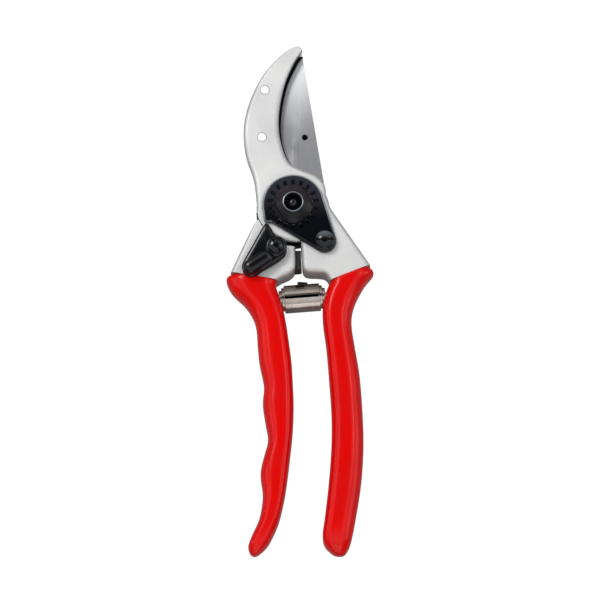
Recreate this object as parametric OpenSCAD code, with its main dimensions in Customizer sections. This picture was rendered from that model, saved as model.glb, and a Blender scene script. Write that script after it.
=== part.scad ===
// Bypass pruning shears, closed and locked, lying flat on their back.
// The pivot's axis is Z, the jaws point along +Y and the handles along -Y.
// Z = 0 is the plane the shears rest on: the pivot bolt's head and the grips' backs touch it.

/* [Overall] */
// Distance from the pivot to the hook's tip
hook_length = 68.5; // [56:0.5:84]
// Distance from the pivot to the ends of the grips
handle_length = 146; // [120:1:178]
// Thickness of the grips, which is the thickness of the handles
grip_thickness = 17; // [15.5:0.1:21]
// Angle that the handles open by
open_angle = 34; // [20:1:36]

/* [Head] */
// Radius of the round heads of both castings
head_radius = 15.2; // [14.6:0.1:15.6]
// Depth of the castings' faces below the grips' faces
face_inset = 1.2; // [0.8:0.1:1.4]
// Gap between a head's rim and the shoulder of the other casting
rim_gap = 0.6; // [0.4:0.1:0.8]
// Gap between the hook casting's back and the blade that slides on it
slide_gap = 0.15; // [0.1:0.05:0.3]

/* [Blade] */
// Thickness of the cutting blade
blade_t = 3.2; // [2.4:0.1:4]
// Width of the ground bevel along the cutting edge
bevel_w = 3.4; // [2:0.1:4.5]
// Thickness left at the cutting edge
edge_t = 0.35; // [0.2:0.05:0.6]
// Thickness of the counter blade set into the hook
counter_t = 2.4; // [1.8:0.1:3]
// How far the counter blade stands proud of the hook's inner edge
counter_proud = 0.5; // [0.2:0.1:0.8]
// Diameter of the counter blade's rivets
rivet_d = 3.6; // [3:0.1:4.8]
// Diameter of the dowel that stops the blade turning on its casting
dowel_d = 2.5; // [1.5:0.1:3]

/* [Pivot] */
// Diameter of the pivot bolt's shank
bolt_d = 10; // [8:0.1:11]
// Diameter of the pivot bolt's thread
thread_d = 7; // [6:0.1:8]
// Diameter of the pivot bolt's head
bolt_head_d = 18; // [16:0.1:20]
// Height of the pivot bolt's head
bolt_head_h = 2.3; // [1.8:0.1:2.6]
// Thickness of the washer under the bolt's head
washer_t = 0.5; // [0.3:0.1:0.8]
// Wall of the bronze bush in the blade casting
bush_wall = 1.4; // [1:0.1:2]
// Radial running clearance on the pivot bolt
running_gap = 0.05; // [0.02:0.01:0.08]

/* [Nut and locking plate] */
// Thickness of the toothed locking plate
plate_t = 2.2; // [1.6:0.1:2.8]
// Radius of the locking plate's round end
plate_r = 12.8; // [12.2:0.1:12.8]
// Number of teeth on the nut, and of slots in the locking plate
teeth = 18; // [12:1:20]
// Width of a slot in the locking plate
slot_w = 1.35; // [1:0.05:1.4]
// Radius that the slots reach
slot_r = 10.5; // [10:0.1:10.7]
// Radius of the nut's hub
nut_r = 8.1; // [7.6:0.1:8.3]
// Distance across the nut's two flats
nut_flats = 13; // [11:0.1:15]
// Radius of the nut's collar
collar_r = 4.4; // [4.3:0.1:5.4]
// Height of the nut above the hook casting
nut_h = 6.9; // [5:0.1:8]
// Diameter of the locking screw's head
screw_head_d = 7; // [5.5:0.1:8]
// Diameter of the locking screw's shank
screw_d = 4; // [3:0.1:5]

/* [Thumb catch] */
// Thickness of the catch's lever
catch_t = 2; // [1.6:0.1:2.6]
// Height of the thumb ridge above the lever
ridge_h = 3.4; // [2:0.1:4.5]
// Height of the boss round the catch's screw
boss_h = 1.2; // [0.8:0.1:2]
// Diameter of the catch's shoulder screw
catch_pin_d = 4; // [3:0.1:5]
// Gap between the catch and what it passes over
catch_gap = 0.3; // [0.2:0.05:0.5]

/* [Handles] */
// Thickness of the grips' coating
grip_wall = 1.4; // [1:0.1:2]
// Diameter of the spring pegs
peg_d = 4.2; // [3.6:0.1:4.6]
// How far the spring pegs stand out of the grips
peg_proud = 2.6; // [2:0.1:3.2]
// Thickness of the rubber buffer across the castings
buffer_w = 8.4; // [6:0.1:9]

/* [Spring] */
// Outer radius of the volute spring's barrel
spring_r = 5.9; // [5.4:0.1:6.6]
// Thickness of the spring's strip
strip_t = 0.55; // [0.4:0.05:0.6]
// Turns from each end of the spring to its middle
spring_turns = 3; // [2:1:3]

/* [Hidden] */
$fn = 72;
SEAT = 0.02; // gap of a fit between pieces that don't move on each other
CUT = 1; // how far a cutting shape runs past what it cuts

// Levels along Z
back_z = face_inset;
front_z = grip_thickness - face_inset;
blade_z = grip_thickness / 2 - 0.8;
blade_top = blade_z + blade_t;
hook_back = blade_top + slide_gap;
counter_top = hook_back + counter_t;
plate_top = front_z + plate_t;
nut_top = front_z + nut_h;
washer_z = bolt_head_h + washer_t;
catch_z = grip_thickness + catch_gap;
catch_top = catch_z + catch_t;
boss_top = catch_top + boss_h;

// Sizes that follow from the driving ones
bolt_r = bolt_d / 2;
pocket_r = head_radius + rim_gap;
well_r = pocket_r + 1.4;
bush_r = bolt_r + running_gap + bush_wall;
nut_tooth_r = slot_r - 0.2;
nut_tooth_h = plate_t / 2;
key_flats = max(bolt_d * 0.84, thread_d + 0.1); // the thread passes through the keyed hole
nose_r = plate_r + 0.55;
spring_end_r = peg_d / 2 + 0.9;
spring_seat_r = spring_end_r + 1.2;
spring_seat_depth = 3;
peg_length = 8;
buffer_low = (grip_thickness - buffer_w) / 2;
buffer_high = (grip_thickness + buffer_w) / 2;
catch_bore_r = catch_pin_d / 2 - 0.5; // the shoulder screw's thread
catch_seat_z = catch_z - 0.6;
catch_seat_r = 4.2;
lobe_r = 4.8; // the locking plate's end round its screw
bolt_recess_r = bolt_head_d / 2 + 0.8;
screw_floor_z = back_z + 4; // end of the locking screw's blind hole
catch_floor_z = back_z + 5; // end of the shoulder screw's blind hole
dowel_floor_z = back_z + 1.5; // end of the dowel's blind hole

// A height above the heads follows the hook's length.
// A height below the grips' necks follows the handles' length.
REF_HOOK = 68.5;
REF_HANDLE = 146;
HEAD_Y = 15;
NECK_Y = 46;
hook_scale = (hook_length - HEAD_Y) / (REF_HOOK - HEAD_Y);
handle_scale = (handle_length - NECK_Y) / (REF_HANDLE - NECK_Y);
function reach(y) = y < HEAD_Y ? y : HEAD_Y + (y - HEAD_Y) * hook_scale;
function drop(y) = y > -NECK_Y ? y : -NECK_Y + (y + NECK_Y) * handle_scale;

// Places in plan
rivet_at = [[-11.7, reach(49.6)], [-12.8, reach(29.3)]];
dowel_at = [4.85, reach(30.5)];
screw_at = [13.2, -15.5];
catch_at = [-7, -18.3];
spring_at = [3.75, -37.6];
spring_tilt = 3;
spring_half = 8.9; // half the spring's length between the handles
barrel_half = 7; // half the length of the strip's wide middle

// A smooth open curve through points, as Catmull-Rom spans
function span(a, b, c, d, t) = 0.5 * (2 * b + (c - a) * t + (2 * a - 5 * b + 4 * c - d) * t * t
    + (3 * b - a - 3 * c + d) * t * t * t);
function curve(p, steps) = let (n = len(p)) concat(
    [for (i = [0:n - 2], k = [0:steps - 1])
        span(p[max(i - 1, 0)], p[i], p[i + 1], p[min(i + 2, n - 1)], k / steps)],
    [p[n - 1]]);
function polar(r, a) = [r * cos(a), r * sin(a)];
function arc_points(centre, r, from, to, steps) =
    [for (k = [0:steps]) centre + polar(r, from + (to - from) * k / steps)];
function unit(v) = v / norm(v);
function left_of(v) = [-v[1], v[0]];

// The four corners of the straight strip that is tangent to two circles
function tangent_quad(a, ra, b, rb) = let (
    d = b - a, lean = acos((ra - rb) / norm(d)), along = atan2(d[1], d[0]))
    [a + polar(ra, along + lean), a + polar(ra, along - lean),
    b + polar(rb, along - lean), b + polar(rb, along + lean)];
module tapered_bar(a, ra, b, rb) {
    polygon(tangent_quad(a, ra, b, rb));
    translate(a) circle(ra);
    translate(b) circle(rb);
}
module slab(z0, z1) {
    translate([0, 0, z0]) linear_extrude(z1 - z0) children();
}
module drum(at, r, z0, z1) {
    translate([at[0], at[1], z0]) cylinder(h = z1 - z0, r = r);
}
module ring(at, r_in, r_out, z0, z1) {
    difference() {
        drum(at, r_out, z0, z1);
        drum(at, r_in, z0 - CUT, z1 + CUT);
    }
}

// ---- Outlines of the jaws
function rise(p) = [for (q = p) [q[0], reach(q[1])]];
hook_back_edge = curve(rise([[3.9, 66.9], [1.6, 68.5], [-4.6, 65], [-12.3, 56.4], [-17.8, 45.5], [-20.4, 34],
    [-19.6, 22.4], [-16.4, 12.4], [-15.2, 4], [-14.6, -3.8]]), 6);
hook_inner_edge = curve(rise([[13.6, 5], [12.9, 9.6], [9.4, 13.4], [3.6, 15.8], [-1.6, 18.8], [-4.4, 25],
    [-5.6, 33], [-5, 42], [-2.8, 52], [1, 60.6], [3.9, 65.2]]), 6);
cutting_edge = curve(rise([[3.3, 66.6], [-1, 61.6], [-5.4, 54], [-8.1, 46], [-9.2, 37], [-8.6, 28],
    [-6.4, 20]]), 8);
spine_foot = [13.1, 8.8];
blade_point = [3.7, reach(66.2)];
module hook_outline() {
    polygon(concat(hook_back_edge, [[0, -6]], hook_inner_edge));
    circle(head_radius);
}

// ---- Outlines of the handles' shoulders
hook_mouth = [[15.2, -31.4], [31.7, -24.8]];
blade_mouth = [[-25.6, -28], [-6.4, -31.2]];
meeting_edge = [[3.3, -15], [3.8, -25]];
shoulder_top = pocket_r + 0.1;
hook_shoulder = concat(
    meeting_edge,
    curve([[3.8, -25], [4.5, -26.9], [6.4, -27.8], [10, -28], [13.3, -28.6], hook_mouth[0]], 4),
    [hook_mouth[1], [shoulder_top, -1.4], [14.2, 5]]);
blade_shoulder = concat(
    curve([[-12.8, -1.2], [-19.2, -14], blade_mouth[0]], 3),
    curve([blade_mouth[1], [-4.4, -30], [-1.4, -28.6], [0.6, -26.6], [0.95, -24]], 4),
    [[0.5, -14]]);

// ---- Handle sections, from the mouth to the end
// A station is [inner point, outer point, share of the full thickness].
hook_stations = [
    [[15.2, -31.4], [31.7, -24.8], 1], [[14.3, -33.8], [32.5, -27.4], 1],
    [[13.1, -37.2], [29.6, -32.2], 1], [[12.1, -43], [25.3, -40.6], 1], [[12.4, -49.6], [24, -48.6], 1],
    [[13.6, -58.6], [25.4, -58.8], 1], [[14.6, -70.5], [27.3, -70.5], 1], [[15.7, -87], [28.5, -87], 1],
    [[15.6, -101], [28.8, -101], 1], [[14.5, -116], [27.8, -116], 0.97],
    [[12.9, -130], [25.6, -130], 0.92], [[12, -137], [24.2, -137.4], 0.86],
    [[12.9, -141.4], [22.9, -142], 0.74], [[16, -144.6], [21.2, -145], 0.44]];
blade_stations = [
    [[-6.4, -31.2], [-25.6, -28], 1], [[-7, -33], [-27.5, -30.2], 1], [[-6.2, -36], [-25.2, -35.6], 1],
    [[-4.4, -41.6], [-19.2, -41.6], 1], [[-2.8, -49], [-15.4, -49], 1],
    [[-1.4, -58.6], [-14.5, -58.6], 1], [[-0.5, -66], [-13.7, -66], 1], [[0, -75], [-11.9, -75], 1],
    [[0.3, -82.5], [-12.4, -82.5], 1], [[0.1, -91], [-11.2, -91], 1],
    [[-0.4, -97.8], [-10.2, -97.8], 0.99], [[-1.2, -105], [-12, -105], 0.98],
    [[-2, -112], [-13.3, -112], 0.96], [[-3.3, -121], [-12.3, -121], 0.93],
    [[-5.4, -130.4], [-13.7, -130.4], 0.88], [[-8, -137], [-16.6, -137], 0.82],
    [[-10.6, -141.6], [-18.2, -141.6], 0.72], [[-14, -145], [-17.4, -144.8], 0.42]];
function flat_station(s) = [s[0][0], drop(s[0][1]), s[1][0], drop(s[1][1]), s[2]];
function stations(s, steps) = curve([for (q = s) flat_station(q)], steps);

// A rounded section: inner corners are tighter than outer ones.
// Points are [across, up] from the section's middle.
CORNER_STEPS = 5;
INNER_ROUND = [0.24, 0.5];
OUTER_ROUND = [0.36, 0.74];
function corner(cx, cz, rx, rz, from) = [for (k = [0:CORNER_STEPS]) let (a = from + 90 * k / CORNER_STEPS)
    [cx + rx * cos(a), cz + rz * sin(a)]];
function section(half_w, half_t) = let (
    ix = 2 * half_w * INNER_ROUND[0], iz = half_t * INNER_ROUND[1],
    ox = 2 * half_w * OUTER_ROUND[0], oz = half_t * OUTER_ROUND[1])
    concat(corner(half_w - ox, half_t - oz, ox, oz, 0), corner(-half_w + ix, half_t - iz, ix, iz, 90),
        corner(-half_w + ix, -half_t + iz, ix, iz, 180), corner(half_w - ox, -half_t + oz, ox, oz, 270));
function placed(s, shrink) = let (
    inner = [s[0], s[1]], outer = [s[2], s[3]],
    middle = (inner + outer) / 2, across = unit(outer - inner),
    half_w = norm(outer - inner) / 2 - shrink,
    half_t = grip_thickness / 2 * s[4] - shrink,
    lift = grip_thickness / 2)
    [for (p = section(half_w, half_t))
        [middle[0] + across[0] * p[0], middle[1] + across[1] * p[0], lift + p[1]]];
SIDES = 4 * (CORNER_STEPS + 1);

// Faces between rings of SIDES points, and the fans that close the first and last rings
function wall_faces(rings, first, flip) = [for (i = [0:rings - 2], k = [0:SIDES - 1], half = [0, 1]) let (
    a = first + i * SIDES + k, b = first + i * SIDES + (k + 1) % SIDES, c = a + SIDES, d = b + SIDES,
    tri = half == 0 ? [a, b, d] : [a, d, c]) flip ? [tri[2], tri[1], tri[0]] : tri];
function fan(first, flip) = [for (k = [1:SIDES - 2])
    flip ? [first, first + k + 1, first + k] : [first, first + k, first + k + 1]];
function flatten(rings) = [for (r = rings, p = r) p];

// A grip is one closed skin: down the outside, across the mouth, and down the hollow that the core fills.
function core_rings(s) = let (n = len(s)) [for (i = [0:n - 5]) placed(s[i], grip_wall)];
module dipped_grip(s, mirrored) {
    outer = [for (q = s) placed(q, 0)];
    hollow = core_rings(s);
    n = len(outer);
    m = len(hollow);
    inner_at = n * SIDES;
    mouth = [for (k = [0:SIDES - 1], half = [0, 1]) let (
        a = k, b = (k + 1) % SIDES, c = inner_at + k, d = inner_at + (k + 1) % SIDES)
        half == 0 ? [a, c, d] : [a, d, b]];
    faces = concat(wall_faces(n, 0, false), fan((n - 1) * SIDES, false), mouth,
        wall_faces(m, inner_at, true), fan(inner_at + (m - 1) * SIDES, true));
    polyhedron(concat(flatten(outer), flatten(hollow)),
        [for (f = faces) mirrored ? f : [f[2], f[1], f[0]]], convexity = 8);
}
// The core starts a little inside the shoulder, so that the two are one casting.
CORE_ROOT = 3;
module handle_core(s, mirrored) {
    rings = core_rings(s);
    step = unit([s[1][0] + s[1][2] - s[0][0] - s[0][2], s[1][1] + s[1][3] - s[0][1] - s[0][3]]);
    root = [for (p = rings[0]) [p[0] - step[0] * CORE_ROOT, p[1] - step[1] * CORE_ROOT, p[2]]];
    all = concat([root], rings);
    n = len(all);
    faces = concat(wall_faces(n, 0, false), fan((n - 1) * SIDES, false), fan(0, true));
    polyhedron(flatten(all), [for (f = faces) mirrored ? f : [f[2], f[1], f[0]]], convexity = 4);
}
hook_rings = stations(hook_stations, 3);
blade_rings = stations(blade_stations, 2);

// ---- Hook side
module counter_outline() {
    // A crescent along the hook's inner edge, from near the tip to above the head
    last = len(hook_inner_edge) - 2;
    inner = [for (i = [22:last]) hook_inner_edge[i] + [counter_proud, -counter_proud / 3]];
    outer = curve(rise([[1.4, 64.6], [-5.6, 58.4], [-11.6, 53.4], [-15.2, 45], [-16.6, 36], [-16.4, 28.4],
        [-12, 24.2]]), 5);
    polygon(concat(inner, outer));
}
module counter_blade_shape(z0, z1) {
    slab(z0, z1) counter_outline();
}
module hook_casting() {
    color([0.8, 0.8, 0.79])
    difference() {
        union() {
            slab(hook_back, front_z) hook_outline();
            difference() {
                slab(back_z, front_z) polygon(hook_shoulder);
                drum([0, 0], pocket_r + 0.2, back_z - CUT, hook_back);
            }
            handle_core(hook_rings, false);
        }
        counter_blade_shape(hook_back - CUT, counter_top);
        for (p = rivet_at) drum(p, rivet_d / 2, hook_back, front_z + CUT);
        intersection() {
            drum([0, 0], bolt_r + SEAT, hook_back - CUT, front_z + CUT);
            translate([0, 0, grip_thickness / 2])
                cube([bolt_d * 2, key_flats + 2 * SEAT, grip_thickness * 2], center = true);
        }
        drum(screw_at, screw_d / 2, screw_floor_z, front_z + CUT);
        spring_peg_shape(1, 0);
    }
}
module counter_blade() {
    color([0.55, 0.56, 0.58])
    difference() {
        counter_blade_shape(hook_back, counter_top);
        for (p = rivet_at) drum(p, rivet_d / 2, hook_back - CUT, counter_top + CUT);
    }
}
module counter_blade_rivets() {
    color([0.9, 0.91, 0.93])
    for (p = rivet_at) drum(p, rivet_d / 2, hook_back, front_z);
}
module pivot_bolt() {
    chamfer = 0.5;
    color([0.14, 0.15, 0.17])
    difference() {
        union() {
            rotate_extrude() polygon([[0, 0], [bolt_head_d / 2 - chamfer, 0], [bolt_head_d / 2, chamfer],
                [bolt_head_d / 2, bolt_head_h], [bolt_r, bolt_head_h], [bolt_r, hook_back],
                [thread_d / 2, hook_back], [thread_d / 2, nut_top - 2.6], [thread_d / 2 - 1, nut_top - 1.4],
                [thread_d / 4, nut_top - 1], [0, nut_top - 0.9]]);
            intersection() {
                drum([0, 0], bolt_r, hook_back - CUT, front_z);
                translate([0, 0, (hook_back + front_z) / 2])
                    cube([bolt_d * 2, key_flats, front_z - hook_back + 2 * CUT], center = true);
            }
        }
        // Two holes for a pin spanner
        for (side = [-1, 1]) drum([side * bolt_head_d * 0.32, 0], 1, -CUT, bolt_head_h * 0.6);
    }
}
module bolt_washer() {
    color([0.7, 0.7, 0.72])
    ring([0, 0], bolt_r + SEAT, bolt_head_d / 2 + 0.4, bolt_head_h, washer_z);
}
module toothed_nut() {
    hub_z = plate_top + 0.9;
    cone_z = nut_top - 1.2;
    rim = 0.5;
    flats_turn = 27;
    color([0.1, 0.1, 0.13])
    difference() {
        union() {
            drum([0, 0], nut_r, front_z, front_z + nut_tooth_h);
            for (k = [0:teeth - 1]) rotate(k * 360 / teeth)
                translate([nut_r - CUT, -slot_w / 2 + 0.1, front_z])
                    cube([nut_tooth_r - nut_r + CUT, slot_w - 0.2, nut_tooth_h]);
            intersection() {
                union() {
                    drum([0, 0], nut_r, front_z, hub_z);
                    translate([0, 0, hub_z]) cylinder(h = cone_z - hub_z, r1 = nut_r, r2 = collar_r + rim);
                }
                rotate(flats_turn) translate([0, 0, front_z + nut_h / 2])
                    cube([nut_flats, nut_r * 4, nut_h * 2], center = true);
            }
            drum([0, 0], collar_r, cone_z - CUT, nut_top);
        }
        drum([0, 0], thread_d / 2 + SEAT, front_z - CUT, nut_top + CUT);
    }
}
module plate_outline() {
    // The round end and the screw's lobe, trimmed straight along the side that faces the catch
    intersection() {
        tapered_bar([0, 0], plate_r, screw_at, lobe_r);
        polygon([[-20, -5.6], [-12.3, -5.6], [-11, -7.5], [-8.8, -7.5], [9.6, -19], [12.6, -21], [26, -22],
            [26, 20], [-20, 20]]);
    }
}
module locking_plate() {
    color([0.1, 0.11, 0.14])
    difference() {
        slab(front_z, plate_top) plate_outline();
        drum([0, 0], nut_r + 0.15, front_z - CUT, plate_top + CUT);
        for (k = [0:teeth - 1]) rotate(k * 360 / teeth)
            translate([nut_r - CUT, -slot_w / 2, front_z - CUT])
                cube([slot_r - nut_r + CUT, slot_w, plate_t + 2 * CUT]);
        drum(screw_at, screw_d / 2 + SEAT, front_z - CUT, plate_top + CUT);
    }
}
module domed_head(r, h) {
    // A low dome: the cap of the sphere that has this radius and height at its rim
    ball = (r * r + h * h) / (2 * h);
    intersection() {
        cylinder(h = h, r = r);
        translate([0, 0, h - ball]) sphere(ball);
    }
}
module locking_screw() {
    head_h = 2;
    color([0.13, 0.14, 0.16])
    difference() {
        union() {
            drum(screw_at, screw_d / 2, screw_floor_z, plate_top + CUT / 2);
            translate([screw_at[0], screw_at[1], plate_top]) domed_head(screw_head_d / 2, head_h);
        }
        translate([screw_at[0], screw_at[1], plate_top + head_h])
            cube([screw_head_d + CUT, 1.1, 2.2], center = true);
    }
}
module hook_grip() {
    color([0.86, 0.03, 0.02])
    difference() {
        dipped_grip(hook_rings, false);
        spring_peg_shape(1, SEAT);
        spring_seat(1);
    }
}

// ---- Spring pegs: side is +1 on the hook handle and -1 on the blade handle
function peg_face(side) = side > 0 ? 13.1 : -5.7;
function peg_y(side) = spring_at[1] + side * spring_half * sin(spring_tilt);
module spring_peg_shape(side, gap) {
    translate([peg_face(side) - side * peg_proud, peg_y(side), grip_thickness / 2])
        rotate([0, side * 90, 0]) cylinder(h = peg_length, r = peg_d / 2 + gap);
}
// The flat seat that the spring's end bears on, sunk in the grip's coating
module spring_seat(side) {
    translate([peg_face(side), peg_y(side), grip_thickness / 2])
        rotate([0, -side * 90, 0]) cylinder(h = spring_seat_depth, r = spring_seat_r);
}
module spring_peg(side) {
    color([0.6, 0.6, 0.62])
    spring_peg_shape(side, 0);
}

// ---- Blade side
module blade_arm() {
    // A finger of the casting that backs the blade as far as its dowel
    tapered_bar([3.2, 4], 8.6, dowel_at, 4.4);
}
module blade_casting() {
    color([0.8, 0.8, 0.79])
    difference() {
        union() {
            slab(back_z, blade_z) {
                circle(head_radius);
                blade_arm();
            }
            difference() {
                slab(back_z, front_z) polygon(blade_shoulder);
                translate([0, 0, blade_z]) linear_extrude(grip_thickness) {
                    circle(pocket_r);
                    polygon(concat([[0, 0]], arc_points([0, 0], well_r, 236, 276, 8)));
                    // Trims the shoulder's tip, so that it passes the hook's back edge as the handles open
                    polygon([[0, 0], polar(40, 170), polar(40, 169 + open_angle)]);
                }
            }
            handle_core(blade_rings, true);
            // Seat of the thumb catch
            drum(catch_at, catch_seat_r, front_z, catch_seat_z);
        }
        drum([0, 0], bush_r, back_z - CUT, blade_z + CUT);
        drum([0, 0], bolt_recess_r, back_z - CUT, washer_z);
        drum(dowel_at, dowel_d / 2, dowel_floor_z, blade_z + CUT);
        drum(catch_at, catch_bore_r, catch_floor_z, catch_z + CUT);
        slab(buffer_low, buffer_high) buffer_outline();
        spring_peg_shape(-1, 0);
    }
}
module buffer_outline() {
    gap = 0.25;
    polygon([[-1.7, -18.4], meeting_edge[0] + [0.15 - gap, -3.4], meeting_edge[1] + [-gap, -1.2],
        [0.6, -26.5], [-1.7, -25.6]]);
}
module rubber_buffer() {
    color([0.06, 0.06, 0.06])
    slab(buffer_low, buffer_high) buffer_outline();
}
module blade_outline() {
    polygon(concat(cutting_edge, [[-8, 10], [0, 0], spine_foot, blade_point]));
    circle(head_radius - 0.6);
}
// The bevel is cut away by a wedge that follows the cutting edge on the blade's back.
module bevel_wedge() {
    e = cutting_edge;
    n = len(e);
    low = blade_z - CUT;
    high = blade_top - edge_t;
    function tangent(i) = unit(e[min(i + 1, n - 1)] - e[max(i - 1, 0)]);
    function inward(i) = left_of(tangent(i));
    points = [for (i = [0:n - 1]) let (
        q = e[i] + inward(i) * bevel_w * (high - low) / (high - blade_z),
        o = e[i] - inward(i) * CUT, h = high + CUT * (high - blade_z) / bevel_w)
        each [[o[0], o[1], low], [o[0], o[1], h], [q[0], q[1], low]]];
    walls = [for (i = [0:n - 2], k = [0:2], half = [0, 1]) let (
        a = 3 * i + k, b = 3 * i + (k + 1) % 3, c = a + 3, d = b + 3) half == 0 ? [a, b, d] : [a, d, c]];
    polyhedron(points, concat([[2, 1, 0]], walls, [[3 * n - 3, 3 * n - 2, 3 * n - 1]]), convexity = 6);
}
module cutting_blade() {
    color([0.66, 0.67, 0.7])
    difference() {
        slab(blade_z, blade_top) blade_outline();
        bevel_wedge();
        drum([0, 0], bolt_r + running_gap, blade_z - CUT, blade_top + CUT);
        drum(dowel_at, dowel_d / 2, blade_z - CUT, blade_top + CUT);
    }
}
module blade_dowel() {
    color([0.1, 0.1, 0.11])
    drum(dowel_at, dowel_d / 2, dowel_floor_z, blade_top - 0.1);
}
module pivot_bush() {
    color([0.72, 0.5, 0.25])
    ring([0, 0], bolt_r + running_gap, bush_r, washer_z, blade_z);
}
module blade_grip() {
    color([0.86, 0.03, 0.02])
    difference() {
        dipped_grip(blade_rings, true);
        spring_peg_shape(-1, SEAT);
        spring_seat(-1);
    }
}
module catch_screw() {
    head_h = 1.7;
    head_d = catch_pin_d + 2.4;
    head_z = boss_top + 0.15; // clear of the boss, so that the catch can swing
    color([0.12, 0.14, 0.17])
    difference() {
        union() {
            drum(catch_at, catch_bore_r, catch_floor_z, catch_seat_z + CUT / 2);
            drum(catch_at, catch_pin_d / 2, catch_seat_z, head_z);
            translate([catch_at[0], catch_at[1], head_z]) domed_head(head_d / 2, head_h);
        }
        translate([catch_at[0], catch_at[1], head_z + head_h]) rotate(-35)
            cube([head_d + CUT, 0.9, 1.6], center = true);
    }
}
module catch_washer() {
    color([0.7, 0.7, 0.72])
    ring(catch_at, catch_pin_d / 2 + running_gap, catch_seat_r - 0.2, catch_seat_z + 0.05, catch_z - 0.1);
}

// ---- Thumb catch
nose_at = polar(nose_r + 0.9, 217.6);
catch_edge = curve([[-8.9, -10.4], [-7.6, -12.9], [-5.9, -15.2], [-3.9, -16.8], [-2.7, -18.8], [-2.7, -21],
    [-4.1, -23.2], [-8, -26], [-12.6, -28.8], [-15.2, -30.4], [-17.6, -30.9], [-20, -29.6], [-21, -27],
    [-20.2, -24], [-16.6, -17.4], [-13.2, -11.1], [-11.9, -9.4]], 3);
module catch_outline() {
    difference() {
        union() {
            polygon(catch_edge);
            translate(nose_at) circle(1.2);
            polygon([[-11.9, -9.4], nose_at + [-0.9, 0.5], nose_at + [0.9, 0.5], [-8.9, -10.4], [-10, -14]]);
        }
        circle(nose_r);
    }
}
module thumb_catch() {
    ridge = [[-17.7, -27.4], [-11, -23]];
    hub_r = catch_pin_d / 2 + 2.3;
    color([0.08, 0.1, 0.13])
    difference() {
        union() {
            slab(catch_z, catch_top) catch_outline();
            drum(catch_at, hub_r, catch_z, boss_top);
            slab(catch_top - CUT, catch_top + ridge_h * 0.7) tapered_bar(ridge[0], 2.9, ridge[1], 2.9);
            slab(catch_top - CUT, catch_top + ridge_h) tapered_bar(ridge[0], 1.7, ridge[1], 1.7);
        }
        drum(catch_at, catch_pin_d / 2 + running_gap, catch_z - CUT, boss_top + CUT);
    }
}

// ---- Volute spring
// One strip is wound from a narrow end out to the barrel and back to the other narrow end.
STEPS_PER_TURN = 24;
volute_pitch = (spring_r - spring_end_r) / spring_turns;
// Where the strip's right edge lies, by turns from the middle; the left edge is its mirror image
function strip_edge(turn) =
    turn >= -0.05 ? barrel_half + (spring_half - barrel_half) * max(0, turn) / spring_turns
    : turn > -0.2 ? barrel_half + (barrel_half + 0.4) * (turn + 0.05) / 0.15
    : -0.4 + 3.7 * turn / spring_turns;
module volute_spring() {
    n = 2 * spring_turns * STEPS_PER_TURN;
    points = [for (i = [0:n]) let (
        turn = i / STEPS_PER_TURN - spring_turns, a = 360 * turn,
        r = spring_r - volute_pitch * abs(turn), lo = -strip_edge(-turn), hi = strip_edge(turn))
        for (c = [[lo, r], [hi, r], [hi, r - strip_t], [lo, r - strip_t]])
            [c[0], c[1] * cos(a), c[1] * sin(a)]];
    walls = [for (i = [0:n - 1], k = [0:3], half = [0, 1]) let (
        a = 4 * i + k, b = 4 * i + (k + 1) % 4, c = a + 4, d = b + 4) half == 0 ? [d, b, a] : [c, d, a]];
    ends = [[0, 1, 2], [0, 2, 3], [4 * n + 2, 4 * n + 1, 4 * n], [4 * n + 3, 4 * n + 2, 4 * n]];
    color([0.75, 0.74, 0.72])
    translate([spring_at[0], spring_at[1], grip_thickness / 2]) rotate(spring_tilt)
        polyhedron(points, concat(ends, walls), convexity = 12);
}

hook_casting();
counter_blade();
counter_blade_rivets();
pivot_bolt();
bolt_washer();
toothed_nut();
locking_plate();
locking_screw();
hook_grip();
spring_peg(1);  // hook_spring_peg
blade_casting();
cutting_blade();
blade_dowel();
pivot_bush();
blade_grip();
spring_peg(-1);  // blade_spring_peg
rubber_buffer();
catch_screw();
catch_washer();
thumb_catch();
volute_spring();
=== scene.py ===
"""Looks for the bypass pruning shears: castings, blades, pivot hardware, catch, spring and dipped grips."""

import logging
import math
from dataclasses import dataclass, field
from enum import Enum

import bpy
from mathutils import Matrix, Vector

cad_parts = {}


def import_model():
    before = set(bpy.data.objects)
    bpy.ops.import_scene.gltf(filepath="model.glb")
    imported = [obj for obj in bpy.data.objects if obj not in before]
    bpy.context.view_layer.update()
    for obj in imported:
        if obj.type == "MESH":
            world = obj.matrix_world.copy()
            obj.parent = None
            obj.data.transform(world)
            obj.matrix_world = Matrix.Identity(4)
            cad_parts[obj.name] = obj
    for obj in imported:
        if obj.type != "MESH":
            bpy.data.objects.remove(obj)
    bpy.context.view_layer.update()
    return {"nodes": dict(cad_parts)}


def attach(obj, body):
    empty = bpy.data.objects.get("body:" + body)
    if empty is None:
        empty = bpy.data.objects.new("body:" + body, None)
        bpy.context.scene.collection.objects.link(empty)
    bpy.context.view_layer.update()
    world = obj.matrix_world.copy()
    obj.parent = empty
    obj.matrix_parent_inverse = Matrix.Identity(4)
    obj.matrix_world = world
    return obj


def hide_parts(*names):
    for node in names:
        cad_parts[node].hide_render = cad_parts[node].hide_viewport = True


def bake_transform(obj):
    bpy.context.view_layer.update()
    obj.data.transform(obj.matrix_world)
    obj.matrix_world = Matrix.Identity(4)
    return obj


Point = tuple[float, float]
Triple = tuple[float, float, float]

log = logging.getLogger("shears")
MM = 0.001


class Half(Enum):
    """The moving bodies that a piece can ride on."""

    HOOK = "hook_half"
    BLADE = "blade_half"
    CATCH = "catch"


# ---- Geometry helpers ----------------------------------------------------------------------------


def deselect() -> None:
    """Leave edit mode's and object mode's selection empty."""
    bpy.ops.object.select_all(action="DESELECT")


def activate(piece: bpy.types.Object) -> None:
    """Make a piece the only selected object and the active one.

    Args:
        piece: The object to select.
    """
    deselect()
    piece.select_set(True)
    bpy.context.view_layer.objects.active = piece


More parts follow.
